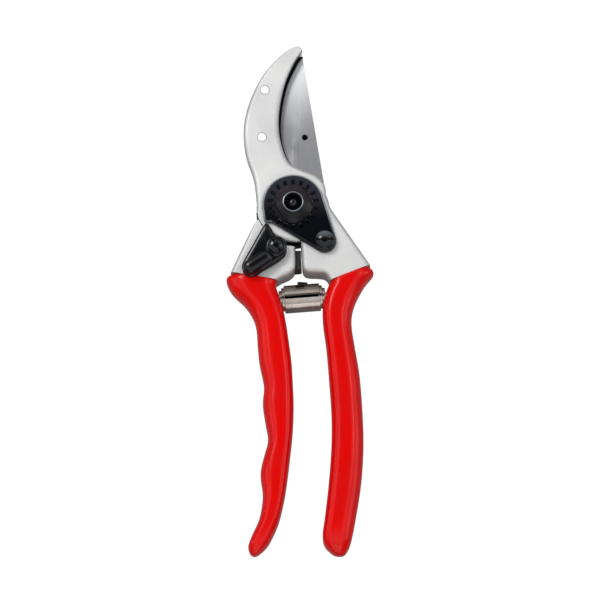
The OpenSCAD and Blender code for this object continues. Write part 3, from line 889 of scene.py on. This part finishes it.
@dataclass
class PivotHardware:
    """The toothed nut, its locking plate and the screws at the pivot.

    Attributes:
        teeth: How many slots the plate has.
        slot_width: Width of a slot.
        slot_reach: Radius that the slots run out to.
        plate_radius: Radius of the plate's round end.
        screw_at: Centre of the locking screw.
        lobe_radius: Radius of the plate's end round the screw.
        flats_turn: Turn of the nut's two flats, in degrees.
        flats_apart: Distance between the nut's flats.
        flats_floor: Height that the flats are cut down to.
        spanner_reach: How far the bolt head's two spanner holes stand from its axis.
    """

    teeth: int = 18
    slot_width: float = 1.45
    slot_reach: float = 10.6
    plate_radius: float = 12.8
    screw_at: Point = (13.0, -15.4)
    lobe_radius: float = 4.8
    flats_turn: float = 27.0
    flats_apart: float = 13.0
    flats_floor: float = 16.6
    spanner_reach: float = 5.76

    def plate_outline(self) -> list[Point]:
        """Draw the plate's outline.

        Returns:
            Its corners, counter-clockwise from the lobe round the screw.
        """
        corner = curve([(-10, -7.6), (-11.2, -7.45), (-12.0, -6.5), (-12.45, -3)], 3)
        lobe = arc(self.lobe_radius, 240, 373, 16, self.screw_at)
        head = arc(self.plate_radius, 20, 193, 40)
        return [*lobe, *head, *reversed(corner), (-8.8, -7.6)]

    def plate(self) -> bpy.types.Object:
        """Make the locking plate with its ring of slots.

        Returns:
            The finished plate.
        """
        piece = prism("locking_plate_toothed", self.plate_outline(), LEVELS.front + 0.02, LEVELS.plate_top)
        round_rim(piece, LEVELS.plate_top, 1.0)
        cut(piece, prism("bore", arc(8.3, 0, 355, 71), 10, 30))
        start = 8
        middle = (start + self.slot_reach) / 2
        for k in range(self.teeth):
            turn = 360 * (k + 0.5) / self.teeth
            angle = math.radians(turn)
            slot_at = (middle * math.cos(angle), middle * math.sin(angle), LEVELS.front + 10.2)
            cut(piece, bar((self.slot_reach - start, self.slot_width, 20), slot_at, turn))
        round_edges(piece, 0.15, 2, 60)
        smooth(piece, 30, flats=True)
        finish_piece(piece, PLATE_STEEL, Half.HOOK, "black_steel", "locking_plate")
        # Painted highlight: the rounded edge outside the slots takes the grey outline finish.
        piece.data.materials.append(PLATE_EDGE_HIGHLIGHT.material())
        for face in piece.data.polygons:
            place = face.center / MM
            rounded = place.z > LEVELS.plate_top - 0.9 and 0.3 < face.normal.z < 0.94
            if rounded and math.hypot(place.x, place.y) > self.slot_reach + 0.5:
                face.material_index = 1
        return piece

    def nut(self) -> bpy.types.Object:
        """Make the pivot nut: a flatted hub that rises to a thin collar with a painted highlight on its edge.

        Returns:
            The finished nut.
        """
        top = LEVELS.nut_top
        hub = [(3.52, 16), (8.15, 16), (8.15, 18.9), (7.6, 19.5), (6.6, 20.3), (5.6, 21.0), (4.9, 21.35)]
        collar = [(4.5, 21.6), (4.4, 21.9), (4.4, top - 0.3), (4.28, top - 0.1), (4.05, top),
                  (3.82, top - 0.08), (3.62, top - 0.25), (3.52, top - 0.5)]
        piece = spun("pivot_nut", [*hub, *collar], (0, 0), 64)
        thick, tall = 8, 20
        angle = math.radians(self.flats_turn)
        for side in (-1, 1):
            reach = side * (self.flats_apart + thick) / 2
            centre = (reach * math.cos(angle), reach * math.sin(angle), self.flats_floor + tall / 2)
            cut(piece, bar((thick, 24, tall), centre, self.flats_turn))
        round_edges(piece, 0.18, 2, 25)
        smooth(piece, 25, flats=True)
        finish_piece(piece, TURNED_STEEL, Half.HOOK, "black_steel", "toothed_nut")
        # Painted highlight: the collar's top edge takes the grey steel.
        piece.data.materials.append(COLLAR_HIGHLIGHT_STEEL.material())
        for face in piece.data.polygons:
            place = face.center / MM
            if place.z > top - 0.32 and math.hypot(place.x, place.y) > 3.75:
                face.material_index = 1
        return piece

    def bolt(self) -> bpy.types.Object:
        """Make the pivot bolt: a low round head at the back and a domed end inside the nut's collar.

        Returns:
            The finished bolt.
        """
        top = LEVELS.nut_top
        angles = [math.pi / 16 * k for k in range(9)]
        crown = [(2.2 * math.cos(a), top - 2.5 + 1.5 * math.sin(a)) for a in angles]
        crown[-1] = (0.0, top - 1.0)
        head = [(0, 0), (8.3, 0), (8.75, 0.15), (9.0, 0.5), (9.0, 2.3), (5.0, 2.3)]
        shank = [(5.0, 15.7), (3.45, 15.7), (3.45, top - 3.2), (2.8, top - 2.8)]
        piece = spun("pivot_bolt_turned", [*head, *shank, *crown], (0, 0), 64)
        for side in (-1, 1):
            hole = arc(1.0, 0, 345, 23, (side * self.spanner_reach, 0))
            cut(piece, prism("spanner_hole", hole, -1, 1.4))
        smooth(piece, 30)
        return finish_piece(piece, BLACK_STEEL, Half.HOOK, "black_steel", "pivot_bolt")

    def screw(self) -> bpy.types.Object:
        """Make the locking plate's domed screw, with its slot across.

        Returns:
            The finished screw.
        """
        piece = spun("locking_screw_domed", dome(3.95, 2.5, LEVELS.plate_top), self.screw_at, 40)
        cut(piece, bar((9, 0.8, 2.6), (*self.screw_at, LEVELS.plate_top + 2.5)))
        smooth(piece, 30)
        # Its finish paints a highlight on the dome beside the slot.
        return finish_piece(piece, SCREW_HIGHLIGHT_STEEL, Half.HOOK, "black_steel", "locking_screw")

    def build(self) -> None:
        """Make all of the pivot's visible hardware."""
        self.plate()
        self.nut()
        self.bolt()
        self.screw()


# ---- Thumb catch ---------------------------------------------------------------------------------


@dataclass
class ThumbCatch:
    """The catch's lever, its thumb ridge and its screw.

    Attributes:
        pivot: Centre of its screw.
        outline: Points on the lever's edge, from its nose down its inner side and back.
        crown: The lever's crowned section: for each level above its back, its share of the full width.
        ridge: The two ends of the thumb ridge.
        ridge_width: The ridge's width.
    """

    pivot: Point = (-7.0, -18.3)
    outline: tuple[Point, ...] = (
        (-8.9, -10.4), (-7.6, -12.9), (-5.9, -15.2), (-3.9, -16.8), (-2.7, -18.8), (-2.7, -21), (-4.1, -23.2),
        (-8, -26), (-12.6, -28.8), (-15.2, -30.4), (-17.6, -30.9), (-20, -29.6), (-21, -27), (-20.2, -24),
        (-16.6, -17.4), (-13.2, -11.1), (-12.1, -9.4), (-11.3, -8.2), (-10.2, -8.7), (-8.9, -10.4))
    crown: tuple[Point, ...] = (
        (0, 0.98), (0.25, 1.0), (1.2, 1.0), (1.65, 0.98), (1.95, 0.94), (2.15, 0.88), (2.28, 0.76),
        (2.36, 0.58), (2.43, 0.35), (2.5, 0.08))
    ridge: tuple[Point, Point] = ((-17.3, -27.2), (-11.4, -23.3))
    ridge_width: float = 6.5

    def lever(self) -> bpy.types.Object:
        """Make the flat lever with its rounded edge.

        Returns:
            The finished lever.
        """
        edge = curve(list(self.outline), 3)[:-1]
        middle = (sum(p[0] for p in edge) / len(edge), sum(p[1] for p in edge) / len(edge))
        rings = [[(middle[0] + (x - middle[0]) * spread, middle[1] + (y - middle[1]) * spread,
                   LEVELS.catch + level) for x, y in edge] for level, spread in self.crown]
        piece = loft("catch_lever", rings)
        cut(piece, prism("clear", arc(13.35, 0, 355, 71), 10, 30))
        smooth(piece, 30)
        return finish_piece(piece, BLACK_NYLON, Half.CATCH, "black_plastic", "thumb_catch")

    def thumb_ridge(self) -> bpy.types.Object:
        """Make the raised ridge that the thumb pushes, highest along its crest.

        Returns:
            The finished ridge.
        """
        start, end = Vector(self.ridge[0]), Vector(self.ridge[1])
        along = (end - start).normalized()
        side = Vector((-along.y, along.x))
        rings: list[list[Triple]] = []
        for level, spread in ((-1, 1.0), (1.5, 0.97), (2.5, 0.86), (3.05, 0.66), (3.3, 0.4), (3.4, 0.1)):
            half = self.ridge_width / 2 * spread
            ring: list[Triple] = []
            for centre, turn in ((end, -90), (start, 90)):
                for k in range(9):
                    angle = math.radians(turn + 180 * k / 8)
                    at = centre + along * (half * math.cos(angle)) + side * (half * math.sin(angle))
                    ring.append((at.x, at.y, LEVELS.catch_top + level))
            rings.append(ring)
        piece = loft("catch_thumb_ridge", rings)
        smooth(piece, 60)
        return finish_piece(piece, BLACK_NYLON, Half.CATCH, "black_plastic")

    def boss(self) -> bpy.types.Object:
        """Make the swelling round the screw.

        Returns:
            The finished boss.
        """
        z = LEVELS.catch_top
        profile = [(2.1, z - 1), (4.45, z - 1), (4.45, z + 0.2), (4.2, z + 0.8), (3.8, z + 1.1),
                   (3.4, z + 1.2), (2.1, z + 1.2)]
        piece = spun("catch_boss", profile, self.pivot, 40)
        smooth(piece, 40)
        return finish_piece(piece, BLACK_NYLON, Half.CATCH, "black_plastic")

    def screw(self) -> bpy.types.Object:
        """Make the shoulder screw's domed head, with its slot on the slant.

        Returns:
            The finished screw head.
        """
        base = LEVELS.catch_top + 1.25
        piece = spun("catch_screw_domed", dome(3.3, 1.9, base), self.pivot, 40)
        cut(piece, bar((8, 0.7, 2.0), (*self.pivot, base + 1.9), 125))
        smooth(piece, 30)
        return finish_piece(piece, BLACK_STEEL, Half.BLADE, "black_steel", "catch_screw")

    def build(self) -> None:
        """Make the catch and its screw."""
        self.lever()
        self.thumb_ridge()
        self.boss()
        self.screw()


# ---- Spring --------------------------------------------------------------------------------------


@dataclass
class VoluteSpring:
    """A double volute spring as nested turns, one inside the next like a telescope's tubes.

    Attributes:
        centre: Its middle.
        tilt: Its tilt in the shears' plane, in degrees.
        turns: For each turn, its outer radius, left end, right end and share of the blade half's movement.
        strip: Thickness of the strip.
    """

    centre: Triple = (3.75, -37.6, 8.5)
    tilt: float = 4.5
    turns: tuple[tuple[str, float, float, float, float], ...] = (
        ("barrel", 5.75, -7.3, 7.3, 0.5),
        ("left_outer", 4.85, -8.4, 1.6, 0.72), ("left_end", 3.75, -9.5, -1.0, 0.96),
        ("right_outer", 4.85, -1.6, 8.4, 0.28), ("right_end", 3.75, 1.0, 9.5, 0.04))
    strip: float = 0.55

    def turn(self, name: str, radius: float, low: float, high: float) -> bpy.types.Object:
        """One turn: a strip's section spun almost all the way round, then laid on the spring's axis.

        Args:
            name: The turn's name.
            radius: Its outer radius.
            low: Its left end along the axis.
            high: Its right end along the axis.

        Returns:
            The turn, in place.
        """
        edge = 0.14
        inner = radius - self.strip
        profile = [(low + edge, radius), (high - edge, radius), (high, radius - edge), (high, inner + edge),
                   (high - edge, inner), (low + edge, inner), (low, inner + edge), (low, radius - edge)]
        cx, cy, cz = self.centre
        piece = new_ring(f"spring_{name}", [(cx + x, cy, cz + r) for x, r in profile], True)
        bpy.ops.mesh.spin(steps=56, angle=math.radians(349), center=Vector(self.centre) * MM, axis=(1, 0, 0))
        bpy.ops.mesh.select_all(action="SELECT")
        bpy.ops.transform.rotate(value=-math.radians(self.tilt), orient_axis="Z",
                                 center_override=Vector(self.centre) * MM)
        leave_edit(piece)
        return piece

    def weigh(self, piece: bpy.types.Object, share: float) -> None:
        """Work out a turn's eased share of the blade half's movement, which is not applied, and bake the
        turn's transform.

        Args:
            piece: The turn.
            share: 0 follows the hook half and 1 the blade half.
        """
        low, high = 0.0, 1.0
        for _ in range(40):
            middle = (low + high) / 2
            if middle * middle * (3 - 2 * middle) < share:
                low = middle
            else:
                high = middle
        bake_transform(piece)

    def tab(self) -> bpy.types.Object:
        """Make the folded tab that keys the strip's middle.

        Returns:
            The tab, in place.
        """
        cx, cy, cz = self.centre
        piece = bar((4.2, 1.3, 3.0), (cx + 0.1, cy + 5.7, cz + 1.2), -self.tilt)
        piece.name = piece.data.name = "spring_tab"
        return round_edges(piece, 0.25, 2)

    def build(self) -> None:
        """Make each turn and the tab, and dress them."""
        for index, (name, radius, low, high, share) in enumerate(self.turns):
            piece = smooth(self.turn(name, radius, low, high), 40)
            self.dress(piece, NICKEL_STRIP, share, index == 0)
        # Painted shade: the tab takes black steel, not the strip's nickel, to stand for the shadow on it.
        self.dress(smooth(self.tab(), 40), BLACK_STEEL, 0.5, False)

    def dress(self, piece: bpy.types.Object, finish: Finish, share: float, stands: bool) -> None:
        """Give a turn its finish and bake its transform.

        Args:
            piece: The turn.
            finish: Its surface.
            share: Its share of the blade half's movement.
            stands: Whether it stands for the frame's spring.
        """
        piece.data.materials.append(finish.material())
        self.weigh(piece, share)
        if stands:
            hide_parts("volute_spring")
        log.info("%s: %d faces, blended", piece.name, len(piece.data.polygons))


# ---- Small parts and what the frame already has right --------------------------------------------


@dataclass
class Rivets:
    """The rivets that hold the counter blade.

    Attributes:
        centres: Their places.
        radius: Their radius.
        seam: Width of the dark line round each, a ring of painted shade in the gap.
    """

    centres: tuple[Point, ...] = ((-11.7, 49.6), (-12.8, 29.3))
    radius: float = 1.8
    seam: float = 0.16

    def build(self) -> None:
        """Make one rivet with its seam, copy both to the other place and dress them."""
        first, second = self.centres
        step = (second[0] - first[0], second[1] - first[1])
        r, z = self.radius, LEVELS.front
        shank = [(0, z - 4), (r, z - 4), (r, z + 0.02), (r * 0.92, z + 0.1), (r * 0.5, z + 0.16),
                 (0, z + 0.18)]
        ring = [(r, z - 0.3), (r + self.seam, z - 0.3), (r + self.seam, z + 0.03), (r, z + 0.03)]
        rivet = smooth(spun("rivet_1", shank, first, 32), 30)
        seam = spun("rivet_seam_1", ring, first, 32)
        for piece in (rivet, copied(rivet, "rivet_2", step)):
            finish_piece(piece, POLISHED_STEEL, Half.HOOK, "bright_rivet", "counter_blade_rivets")
        # The seams are rings of painted shade round the rivets.
        for piece in (seam, copied(seam, "rivet_seam_2", step)):
            finish_piece(piece, PAINTED_SHADE_ALUMINIUM, Half.HOOK, "bright_rivet")


# The counter blade's black steel is painted shade: it stands for the shadow along the hook's inner edge.
FRAME_FINISHES: dict[str, Finish] = {
    "cutting_blade": GROUND_STEEL, "counter_blade": BLACK_STEEL, "blade_dowel": BLACK_STEEL,
    "bolt_washer": POLISHED_STEEL, "catch_washer": POLISHED_STEEL, "hook_spring_peg": POLISHED_STEEL,
    "blade_spring_peg": POLISHED_STEEL, "pivot_bush": BRONZE, "rubber_buffer": RUBBER}


def dress_frame(nodes: dict[str, bpy.types.Object]) -> None:
    """Give the frame's own visible nodes their finishes.

    Args:
        nodes: The frame's nodes by name.
    """
    for name, finish in FRAME_FINISHES.items():
        node = nodes[name]
        node.data.materials.clear()
        node.data.materials.append(finish.material())
        log.info("%s: frame node in %s", name, finish.name)


# ---- Studio --------------------------------------------------------------------------------------


@dataclass
class Studio:
    """A pale floor, soft lights and the camera.

    Attributes:
        target: The point that the camera looks at, in millimetres.
        elevation: The camera's angle above the floor, in degrees.
        distance: The camera's distance in millimetres.
        lens: Its focal length in millimetres, on a 36 mm sensor.
        low_light: Brightness of the dark band round the tent's foot.
        side_light: Brightness of the tent's walls.
        top_light: Brightness of its opening overhead.
        opening_towards: The direction of that opening.
        floor_light: How brightly the floor's paper glows.
        floor_bounce: How much of that glow falls on the shears.
        lamps: For each soft light, its name, place in metres, side in metres and power in watts.
    """

    target: Triple = (2.85, -38.25, 8.5)
    elevation: float = 76.0
    distance: float = 2056.0
    lens: float = 300.0
    low_light: float = 0.08
    side_light: float = 1.15
    top_light: float = 0.06
    opening_towards: Triple = (0.0, 0.242, 0.97)
    floor_light: float = 1.0
    floor_bounce: float = 0.15
    lamps: tuple[tuple[str, Triple, float, float], ...] = (
        ("softbox_left", (-0.5, 0.45, 0.9), 0.36, 4.4), ("softbox_right", (0.6, 0.2, 0.9), 0.2, 0.6),
        ("card_front", (0.0, -1.2, 0.35), 0.8, 2.4), ("card_left", (-1.2, 0.0, 0.35), 0.7, 1.8),
        ("card_right", (1.2, 0.0, 0.35), 0.7, 2.4))

    def floor(self) -> None:
        """Lay a large pale floor just under the shears."""
        deselect()
        bpy.ops.mesh.primitive_plane_add(size=6, location=(0, 0, -0.0002))
        plane = bpy.context.active_object
        plane.name = "floor"
        material = bpy.data.materials.new("floor_paper")
        material.use_nodes = True
        shader = material.node_tree.nodes["Principled BSDF"]
        shader.inputs["Base Color"].default_value = linear("#505050")
        shader.inputs["Roughness"].default_value = 0.9
        shader.inputs["Emission Color"].default_value = (1, 1, 1, 1)
        seen = add_node(material.node_tree, "ShaderNodeLightPath").outputs["Is Camera Ray"]
        glow = add_node(material.node_tree, "ShaderNodeMapRange", {"Value": seen, "To Min": self.floor_bounce,
                                                                   "To Max": self.floor_light})
        material.node_tree.links.new(glow.outputs[0], shader.inputs["Emission Strength"])
        plane.data.materials.append(material)

    def light(self, name: str, at: Triple, size: float, power: float) -> None:
        """Hang a square soft light that faces the shears.

        Args:
            name: The light's name.
            at: Its place in metres.
            size: Its side in metres.
            power: Its power in watts.
        """
        data = bpy.data.lights.new(name, "AREA")
        data.shape = "SQUARE"
        data.size = size
        data.energy = power
        lamp = bpy.data.objects.new(name, data)
        bpy.context.scene.collection.objects.link(lamp)
        lamp.location = at
        aim = Vector(self.target) * MM - Vector(at)
        lamp.rotation_euler = aim.to_track_quat("-Z", "Y").to_euler()

    def camera(self) -> None:
        """Set up the camera."""
        data = bpy.data.cameras.new("camera")
        data.lens = self.lens
        data.sensor_width = 36
        data.clip_start = 0.01
        camera = bpy.data.objects.new("camera", data)
        bpy.context.scene.collection.objects.link(camera)
        angle = math.radians(self.elevation)
        back = Vector((0, -math.cos(angle), math.sin(angle)))
        camera.location = (Vector(self.target) + back * self.distance) * MM
        camera.rotation_euler = (-back).to_track_quat("-Z", "Y").to_euler()
        bpy.context.scene.camera = camera

    def tent(self) -> None:
        """Wrap the scene in a light tent: bright walls, a dark foot and a dark opening overhead."""
        world = bpy.data.worlds.new("light_tent")
        world.use_nodes = True
        tree = world.node_tree
        way = add_node(tree, "ShaderNodeTexCoord").outputs["Generated"]
        height = add_node(tree, "ShaderNodeSeparateXYZ", {0: way}).outputs[2]
        foot = add_node(tree, "ShaderNodeMapRange", {"Value": height, "From Min": 0.15, "From Max": 0.93,
                                                     "To Min": self.low_light, "To Max": self.side_light})
        overhead = add_node(tree, "ShaderNodeVectorMath", {0: way, 1: self.opening_towards},
                            operation="DOT_PRODUCT").outputs["Value"]
        crown = add_node(tree, "ShaderNodeMapRange",
                         {"Value": overhead, "From Min": 0.945, "From Max": 0.975,
                          "To Min": 1.0, "To Max": self.top_light / self.side_light})
        strength = add_node(tree, "ShaderNodeMath", {0: foot.outputs[0], 1: crown.outputs[0]},
                            operation="MULTIPLY")
        backdrop = tree.nodes["Background"]
        backdrop.inputs[0].default_value = (1, 1, 1, 1)
        tree.links.new(strength.outputs[0], backdrop.inputs[1])
        bpy.context.scene.world = world

    def build(self) -> None:
        """Set up floor, lights, tent and camera."""
        self.floor()
        for lamp in self.lamps:
            self.light(*lamp)
        self.tent()
        bpy.context.scene.view_settings.view_transform = "Standard"
        self.camera()


def main() -> None:
    """Build the shears' looks over their frame."""
    logging.basicConfig(level=logging.INFO, format="%(message)s")
    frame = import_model()
    Studio().build()
    hook_mouth = (HOOK_STATIONS[0][0:2], HOOK_STATIONS[0][2:4])
    blade_mouth = (BLADE_STATIONS[0][2:4], BLADE_STATIONS[0][0:2])
    HookCasting("hook_casting_forged", hook_outline(), Half.HOOK, "hook_casting", hook_mouth).build()
    BladeCasting("blade_casting_forged", blade_outline(), Half.BLADE, "blade_casting", blade_mouth).build()
    Rivets().build()
    PivotHardware().build()
    ThumbCatch().build()
    VoluteSpring().build()
    Grip("hook_grip_dipped", HOOK_STATIONS, Half.HOOK, "hook_grip").build()
    Grip("blade_grip_dipped", BLADE_STATIONS, Half.BLADE, "blade_grip").build()
    dress_frame(frame["nodes"])


if __name__ == "__main__":
    main()
